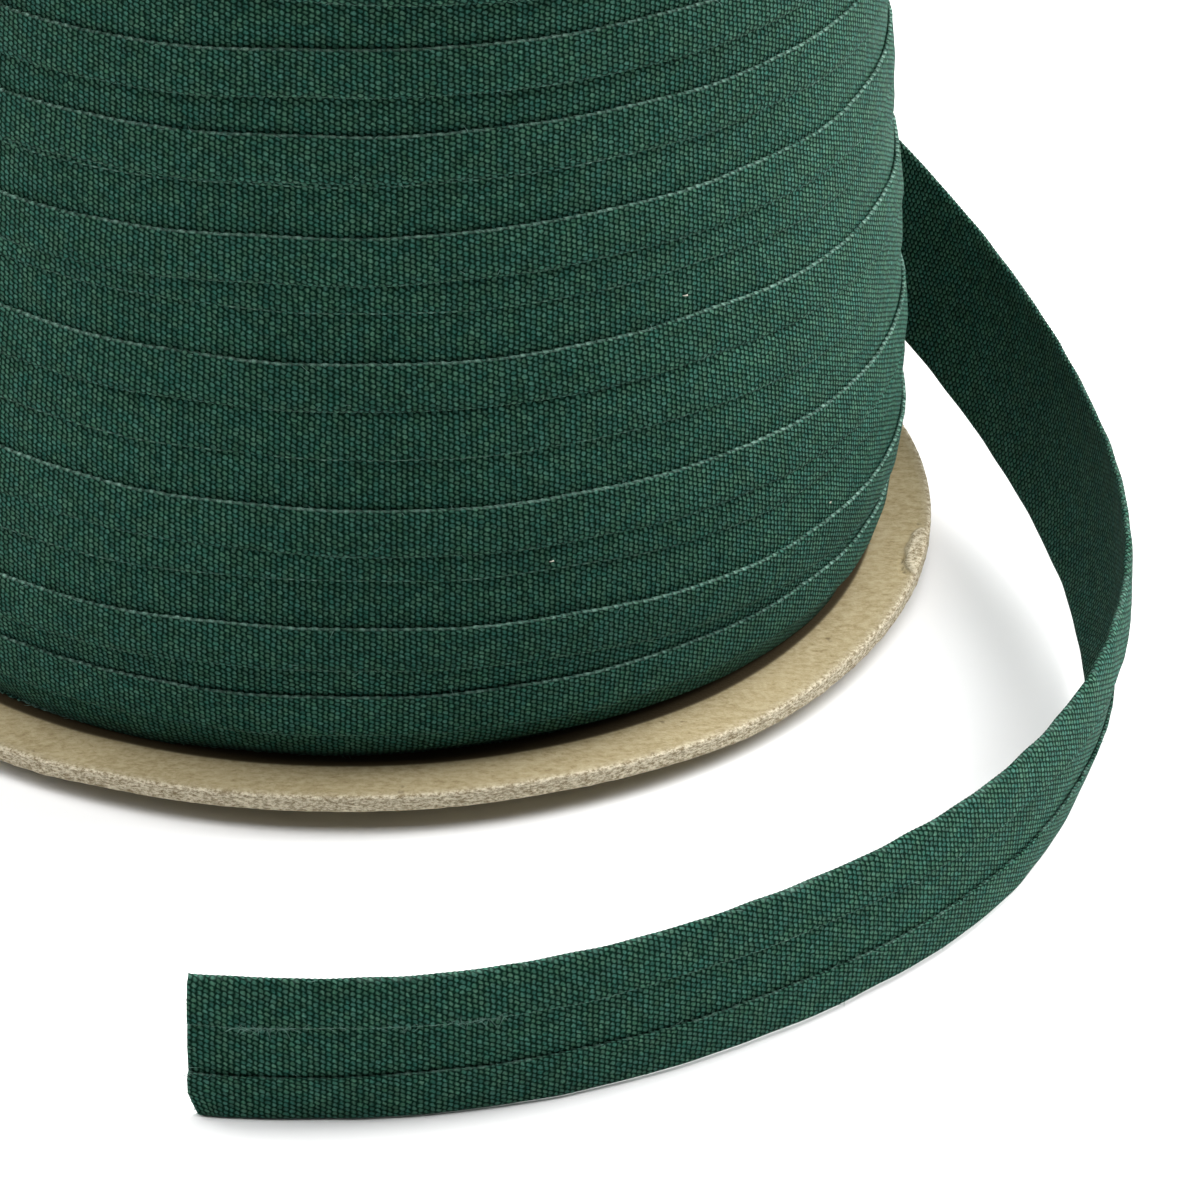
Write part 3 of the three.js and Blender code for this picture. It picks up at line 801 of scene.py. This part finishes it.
def under_layer(material):
    """The layer below, a plain drum"""
    heights = np.linspace(FLANGE_THICKNESS + END_GAP, FLANGE_THICKNESS + TRAVERSE - END_GAP, UNDER_HEIGHTS)
    size = 2 * UNDER_HEIGHTS
    azimuth = np.linspace(0, 360, UNDER_STEPS + 1)[:-1, None]
    z = np.concatenate([heights, heights[::-1]])[None, :]
    radius = np.where(np.arange(size) < UNDER_HEIGHTS, pack_radius(z) - UNDER_DEPTH, UNDER_BORE) + 0 * azimuth
    rings = polar(azimuth, radius, z + FOOT_HEIGHT)
    up = np.repeat(z, UNDER_STEPS, 0)
    cloth = cloth_coordinates(np.radians(azimuth) * UNDER_RADIUS, up, 0 * up)
    return drum("under_layer", rings, cloth, material)


def top_turns(material):
    """Turns of the layer below that show over the last turn, wound down from the top flange"""
    top = FLANGE_THICKNESS + TRAVERSE - END_GAP
    whole = UNDER_TURNS * 2 * np.pi * UNDER_RADIUS
    turns = np.linspace(0, UNDER_TURNS, round(whole / UNDER_STEP))[:, None]
    up, out, fold_share, raw_share = section_columns()
    length = turns * 2 * np.pi * UNDER_RADIUS
    z = top + UNDER_START - UNDER_PITCH * turns + waves(length, *UNDER_FOLD_WAVES) - up
    over = np.maximum(0, z - top)
    z = np.where(over > 0, top - TURN_IN_SLOPE * over, z)
    dip = UNDER_DIP * smooth(up, *(UNDER_PITCH + way for way in DIP_SLOPE))
    radius = pack_radius(z) - UNDER_TURN_DEPTH + out - dip - TURN_IN_DEPTH * over
    radius = radius + waves(length, *UNDER_PACK_WAVES)
    rings = polar(UNDER_AZIMUTH - 360 * turns, radius, z + FOOT_HEIGHT)
    cloth = cloth_coordinates(length, up + 0 * turns, out + 0 * turns)
    # Both of their raw edges are as pale as a wound turn's upper one
    raw = fray_and_highlight(length, TAPE_WIDTH, raw_share, fold_share, WOUND_FRAY_AND_HIGHLIGHT)
    shares = turn_shares()[::-1]
    return ribbon("under_turns", rings[:, ::-1], cloth[:, ::-1], shares, UNDER_ROWS, material, raw[:, ::-1])


# Loose tape

def loose_outline():
    """Columns of the folded strip's whole outline"""
    width = TAPE_WIDTH / MM
    mirror = [(width - up, out, fold, -raw) for up, out, fold, raw in reversed(FLAP_OUTSIDE)]
    underside = [(width - up, out, fold, -raw) for up, out, fold, raw in reversed(FLAP_UNDERSIDE[1:])]
    outline = FLAP_OUTSIDE + BACK_MIDDLE + mirror + underside + FLAP_UNDERSIDE
    return (np.array(outline).T * SECTION_UNITS)[:, None, :]


def route_at(share):
    """Azimuth, reach, height, lean and crown along the route, from the even cubic B-spline of its rows"""
    rows = np.array(LOOSE_ROUTE)
    spans = len(rows) - 3
    place = np.clip(share, 0, 1) * spans
    i = np.minimum(place.astype(int), spans - 1)
    t = (place - i)[:, None]
    weights = [(1 - t) ** 3, 3 * t ** 3 - 6 * t * t + 4, -3 * t ** 3 + 3 * t * t + 3 * t + 1, t ** 3]
    return sum(weight * rows[i + k] for k, weight in enumerate(weights)) / 6


def route_frames(share):
    """Along the loose tape at these shares: the lower edge, directions along, up the width and outward, and
    the crown"""
    azimuth, reach, height, lean, crown = route_at(share).T
    edge = polar(azimuth, reach * MM, height * MM)
    along = np.gradient(edge, axis=0)
    along /= np.linalg.norm(along, axis=1, keepdims=True)
    side = np.cross(along, [0, 0, 1])
    side /= np.linalg.norm(side, axis=1, keepdims=True)
    up = np.cross(side, along)
    tilt = np.radians(lean)[:, None]
    width = up * np.cos(tilt) + side * np.sin(tilt)
    return edge, along, width, np.cross(along, width), crown[:, None] * MM


def loose_tape(material, fibre):
    """The loose end as one folded strip, with its cut end trimmed at the lower corner, its fibres and its
    length"""
    fine = np.linspace(0, 1, ROUTE_SAMPLES)
    line = route_frames(fine)[0]
    travelled = np.concatenate([[0], np.cumsum(np.linalg.norm(np.diff(line, axis=0), axis=1))])
    total = travelled[-1]
    marks = np.append(np.arange(0, total - 0.5 * STEP, STEP), total)
    share = np.interp(marks, travelled, fine)
    edge, along, width, outward, crown = (a[:, None, :] for a in route_frames(share))
    up, out, fold_share, raw_share = loose_outline()
    length = tape_length(np.array([LAST_TURN])) + total - marks[:, None]

    beat = np.cos(2 * np.pi * length / PICK_PITCH)
    tooth = np.cos(np.pi * length / PICK_PITCH) + waves(length, *LOOSE_TOOTH_WAVES)
    lower = np.where(up < TAPE_WIDTH / 2, -1.0, 1.0)
    rise = up + lower * fold_share * FOLD_SCALLOP * beat + raw_share * RAW_SCALLOP * tooth
    wide = np.sign(raw_share) * smooth(np.abs(raw_share), 0, WANDER_FROM)
    wide = wide * waves(length, *LOOSE_WIDTH_WAVES)
    rise = rise + np.where(np.abs(raw_share) > 0, wide, 0)
    lift = np.abs(raw_share) * np.abs(waves(length, *LOOSE_LIFT_WAVES))
    crown = crown[:, 0] * (1 - (2 * up / TAPE_WIDTH - 1) ** 2)
    bow = pillow(length + BOW_SHIFT, up) * BOW
    depth = out - TAPE_MIDDLE + crown + bow + lift + fold_share * FOLD_SWELL * FOLD_SCALLOP * beat
    rings = edge + width * rise[..., None] + outward * depth[..., None]
    trim = CUT_CORNER_BACK * np.clip(1 - up / CUT_CORNER_UP, 0, 1) ** 2
    trim = trim + waves(up + CUT_SHIFT, *CUT_END_WAVES)
    rings = rings + along * (trim * smooth(marks[:, None], CUT_REACH, 0))[..., None]
    sink = edge[:, 0, 2] - rings[:, :, 2].min(1)
    rings[:, :, 2] += sink[:, None]

    rings = ease_on_to_roll(rings, marks, total, up, out)
    hairs = loose_fuzz(rings, along, width, outward, raw_share[0], fold_share[0], fibre)
    cloth = cloth_coordinates(length, up + 0 * length, out + 0 * length)
    raw = fray_and_highlight(length, up, raw_share, fold_share, LOOSE_FRAY)
    up, out = up[0], out[0]
    hidden = (out > BETWEEN_LAYERS[0]) & (out < BETWEEN_LAYERS[1])
    hidden &= (up < FLAP_WIDTH) | (up > TAPE_WIDTH - FLAP_WIDTH)
    shares = section_shares(up, out, hidden)
    return ribbon("loose_tape_end", rings, cloth, shares, LOOSE_ROWS, material, raw), hairs, total


def ease_on_to_roll(rings, marks, total, up, out):
    """Bring the loose tape's last stretch on to the place where the last turn ends"""
    azimuth = np.degrees(np.arctan2(rings[:, :, 1], rings[:, :, 0])) % 360
    turns = (RIGHT - (azimuth - 360)) / 360 + len(TURNS) - 1
    height = fold_height(turns) + up
    radius = pack_radius(height) + out + JOIN_GAP
    wound = polar(azimuth, radius, height + FOOT_HEIGHT)
    share = smooth(marks, total - JOIN_LENGTH, total)[:, None, None]
    return rings * (1 - share) + wound * share


# Spool

def nick_parts(azimuth, radius):
    """Shares of the nick's lump, of the crease round it and of the dent beside it"""
    across = (azimuth - NICK_AZIMUTH) / NICK_WIDTH
    inward = (NICK_REACH - radius / MM) / NICK_DEPTH
    far = np.sqrt(across ** 2 + np.maximum(inward, 0) ** 4)
    lump = smooth(far, *LUMP)
    crease = np.exp(-((far - CREASE_MIDDLE) / CREASE_WIDTH) ** 2) * smooth(azimuth, *CREASE_AZIMUTHS)
    crease = crease * (inward > CREASE_INWARD)
    aside = (azimuth - DENT_AZIMUTH) / DENT_SIZE
    dent = np.exp(-aside ** 2 - ((radius / MM - DENT_REACH) / DENT_SIZE) ** 2)
    return lump, crease, dent


def flange(height, warp, seed, underside, worn_and_shaded=False):
    """A board flange's rings, with a rough, layered rim, and how raw each point is, below 0 how much painted
    shade it takes. height is that of its flat underside. A worn and shaded one has the nick, and painted
    shade where the tape meets it."""
    angle = np.linspace(0, 2 * np.pi, FLANGE_STEPS, endpoint=False)[:, None]
    radii, levels, rough = np.array(FLANGE_SECTION + underside).T[:, None, :]
    radius = np.where(radii > 0, radii * MM, FLANGE_RADIUS + radii * MM) + 0 * angle
    z = levels * MM
    azimuth = np.degrees((angle + np.pi) % (2 * np.pi) - np.pi)
    bend = np.interp(azimuth, *np.array(warp).T) * MM + ripples(angle, seed, *RIM_BEND)
    outer = smooth(radius, WARP_START, FLANGE_RADIUS)
    layers = [ripples(angle, seed + 10 + i, *RIM_LAYERS) for i in range(z.shape[1])]
    layers = np.concatenate(layers, 1)
    chips = ripples(angle, seed + 1, *RIM_CHIPS)
    bottom = smooth(z, LOWER_RIM, 0.0) * outer
    rim = LEAST_RAW + (1 - LEAST_RAW) * smooth(rough, RAW_FROM, 1.0)
    raw = np.where(rough > 0, rim, 0) * (1 + 0 * angle)
    if worn_and_shaded:
        top = levels > TOP_LEVEL
        # Painted shade on the top face where the tape meets it
        raw = raw - top * smooth(radius, *CONTACT_SHADE)
        parts = [part * top for part in nick_parts(azimuth, radius)]
        z = z + sum(rise * part for (rise, _), part in zip(NICK_EFFECTS, parts)) * MM
        raw = raw * (1 - parts[0])
        # Below 0 the crease takes painted shade for its shadow and the dent is darkened the same way; the
        # lump looks raw like the cut rim
        for (_, tone), part in zip(NICK_EFFECTS, parts):
            raw = raw + tone * part
    radius = radius + rough * (layers + CHIP_SHARE * chips * bottom)
    z = z + bend * outer + rough * LAYER_RISE * np.roll(layers, 3, 1) * bottom
    return polar(np.degrees(angle), radius, z + height), np.clip(raw, -1, 1)


def flange_piece(name, node, rings, raw, material):
    count, size, _ = rings.shape
    i, k = np.meshgrid(np.arange(count), np.arange(size - 1), indexing="ij")
    i, k = i.ravel(), k.ravel()
    j = (i + 1) % count
    faces = np.stack([i * size + k, i * size + k + 1, j * size + k + 1, j * size + k], -1).tolist()
    faces.append([c * size for c in range(count)])
    faces.append([c * size + size - 1 for c in reversed(range(count))])
    stand_in(make_object(name, rings.reshape(-1, 3), faces, material, raw=raw), node)


# Fibres and lint

def strands(name, roots, along, up, outward, lengths, seed, material, thickness):
    """Fine fibres as thin three-sided threads, each curling away from its root"""
    draw = np.random.default_rng(seed)
    count = len(roots)
    heading = along * draw.choice([-1, 1], (count, 1)) * draw.uniform(*ALONG, (count, 1))
    heading = heading + up * draw.normal(*UPWARD, (count, 1)) + outward * draw.uniform(*OUTWARD, (count, 1))
    heading /= np.linalg.norm(heading, axis=1, keepdims=True)
    curl = np.clip(draw.normal(0, CURL, (count, 3)), -MOST_CURL, MOST_CURL)
    t = np.linspace(0, 1, THREAD_STEPS)[None, :, None]
    spine = roots[:, None] + lengths[:, None, None] * (heading[:, None] * t + curl[:, None] * t * t * 0.5)
    spine[:, :, 2] = np.maximum(spine[:, :, 2], 2 * thickness)
    side = np.cross(heading, outward)
    side /= np.linalg.norm(side, axis=1, keepdims=True) + 1e-9
    other = np.cross(heading, side)
    thick = thickness * (ROOT_THICKNESS - TAPER * t)
    turn = np.radians([90, 210, 330])
    sides = [spine + thick * (side[:, None] * math.cos(a) + other[:, None] * math.sin(a)) for a in turn]
    points = np.stack(sides, 2).reshape(-1, 3)
    faces = []
    for base in range(0, len(points), THREAD_STEPS * 3):
        for ring in range(base, base + (THREAD_STEPS - 1) * 3, 3):
            for k in range(3):
                a, b = ring + k, ring + (k + 1) % 3
                faces.append([a, b, b + 3, a + 3])
        faces.append([base + 2, base + 1, base])
        faces.append([ring + 3, ring + 4, ring + 5])
    return make_object(name, points, faces, material)


def on_roll(name, roots, outward, lengths, seed, material, thickness):
    """Strands that grow from the roll"""
    up = np.zeros_like(roots) + [0, 0, 1]
    along = np.cross(up, outward)
    return strands(name, roots, along, up, outward, lengths, seed, material, thickness)


def wound_fuzz(material):
    """Fibres on the raw edges and folds of the turns"""
    draw = np.random.default_rng(WOUND_SEEDS[0])
    turns = np.sort(draw.uniform(0, LAST_TURN, WOUND_FIBRES))
    rings = turn_rings(turns)[0]
    row = draw.choice(list(FUZZY_ROWS), WOUND_FIBRES, p=list(FUZZY_ROWS.values()))
    roots = rings[np.arange(WOUND_FIBRES), row]
    outward = roots * [1, 1, 0]
    outward /= np.linalg.norm(outward, axis=1, keepdims=True)
    lengths = np.minimum(draw.gamma(LENGTH_SPREAD, WOUND_FIBRE, WOUND_FIBRES), LONGEST_FIBRE)
    return on_roll("wound_fuzz", roots, outward, lengths, WOUND_SEEDS[1], material, FIBRE_RADIUS)


def loose_fuzz(rings, along, width, outward, raw_share, fold_share, material):
    """Fibres on the loose tape's raw edges, folds and cut end, with the frayed places"""
    draw = np.random.default_rng(LOOSE_SEEDS[0])
    rows = np.flatnonzero((np.abs(raw_share) > EDGE_SHARE) | (fold_share > EDGE_SHARE))
    ring = draw.integers(0, len(rings), LOOSE_FIBRES)
    ring[:CUT_FIBRES] = 0
    row = draw.choice(rows, LOOSE_FIBRES)
    row[:CUT_FIBRES] = draw.integers(0, rings.shape[1], CUT_FIBRES)
    end = CUT_FIBRES
    for middle, spread, count in FRAYED:
        ring[end:end + count] = np.clip(draw.normal(middle, spread, count) / STEP, 0, len(rings) - 1)
        row[end:end + count] = draw.choice(np.flatnonzero(raw_share == -1), count)
        end += count
    roots = rings[ring, row]
    lengths = draw.gamma(LENGTH_SPREAD, LOOSE_FIBRE, LOOSE_FIBRES)
    lengths[CUT_FIBRES:end] *= FRAYED_LONGER
    lengths = np.minimum(lengths, LONGEST_FIBRE)
    frames = (a[ring, 0] for a in (along, width, outward))
    return strands("loose_fuzz", roots, *frames, lengths, LOOSE_SEEDS[1], material, FIBRE_RADIUS)


def lint(material):
    """A few pale specks of lint caught on the turns"""
    places = np.array(LINT)
    roots = polar(places[:, 0], places[:, 1] * MM, places[:, 2] * MM + FOOT_HEIGHT)
    outward = polar(places[:, 0], 1.0, 0.0)
    lengths = np.full(len(places), LINT_LENGTH)
    return on_roll("lint", roots, outward, lengths, LINT_SEED, material, LINT_RADIUS)


# Camera, light and floor

def add_camera():
    """A long lens at the photograph's angle. It looks at the flange's middle, then turns right and down."""
    elevation, yaw, pitch = map(math.radians, (CAMERA_ELEVATION, CAMERA_YAW, CAMERA_PITCH))
    ahead = Vector((0, math.cos(elevation), -math.sin(elevation)))
    back, high = CAMERA_DISTANCE * math.cos(elevation), CAMERA_DISTANCE * math.sin(elevation)
    spot = Vector((0, -back, high + FOOT_HEIGHT))
    right = Vector((1, 0, 0))
    up = right.cross(ahead)
    ahead = ahead * math.cos(yaw) + right * math.sin(yaw)
    right = ahead.cross(up)
    ahead = ahead * math.cos(pitch) + up * math.sin(pitch)
    up = right.cross(ahead)
    data = bpy.data.cameras.new("camera")
    data.lens = CAMERA_LENS
    data.sensor_width = CAMERA_SENSOR
    data.sensor_height = CAMERA_SENSOR
    data.sensor_fit = "HORIZONTAL"
    data.clip_start = CAMERA_CLIP
    camera = bpy.data.objects.new("camera", data)
    turn = Matrix((right, up, -ahead)).transposed().to_4x4()
    camera.matrix_world = Matrix.Translation(spot) @ turn
    bpy.context.scene.collection.objects.link(camera)
    bpy.context.scene.camera = camera


def add_lights():
    world = bpy.data.worlds.new("studio")
    bpy.context.scene.world = world
    world.use_nodes = True
    background = world.node_tree.nodes["Background"]
    background.inputs["Color"].default_value = (1, 1, 1, 1)
    background.inputs["Strength"].default_value = SKY_STRENGTH
    for name, box in SOFTBOXES.items():
        data = bpy.data.lights.new(name, "AREA")
        data.shape = "RECTANGLE"
        data.size, data.size_y = box["size"]
        data.energy = box["watts"]
        lamp = bpy.data.objects.new(name, data)
        lamp.location = box["place"]
        lamp.rotation_euler = (Vector(LIT_POINT) - lamp.location).to_track_quat("-Z", "Y").to_euler()
        bpy.context.scene.collection.objects.link(lamp)


def add_floor():
    half = FLOOR_HALF
    corners = np.array([(-half, -half, 0), (half, -half, 0), (half, half, 0), (-half, half, 0)])
    make_object("floor", corners, [[0, 1, 2, 3]], plain("paper", FLOOR_COLOUR))


def build():
    add_camera()
    cloth = canvas()
    card = board()
    for piece in wound_turns(cloth) + [under_layer(cloth), top_turns(cloth)]:
        stand_in(piece, "wound_tape")
    fibre = plain("fibre", FIBRE_COLOUR)
    stand_in(wound_fuzz(fibre), "wound_tape")
    stand_in(lint(plain("lint", LINT_COLOUR)), "wound_tape")
    loose, loose_hairs, length = loose_tape(cloth, fibre)
    stand_in(loose_hairs, "loose_tape")
    stand_in(loose, "loose_tape")
    bottom = flange(FOOT_HEIGHT, BOTTOM_WARP, BOTTOM_SEED, FOOT_SECTION, worn_and_shaded=True)
    flange_piece("bottom_flange_board", "flange_bottom", *bottom, card)
    top = flange(FOOT_HEIGHT + FLANGE_THICKNESS + TRAVERSE, NO_WARP, TOP_SEED, PLAIN_UNDERSIDE)
    flange_piece("top_flange_board", "flange_top", *top, card)
    add_floor()
    add_lights()
    bpy.context.scene.view_settings.view_transform = "Standard"


build()
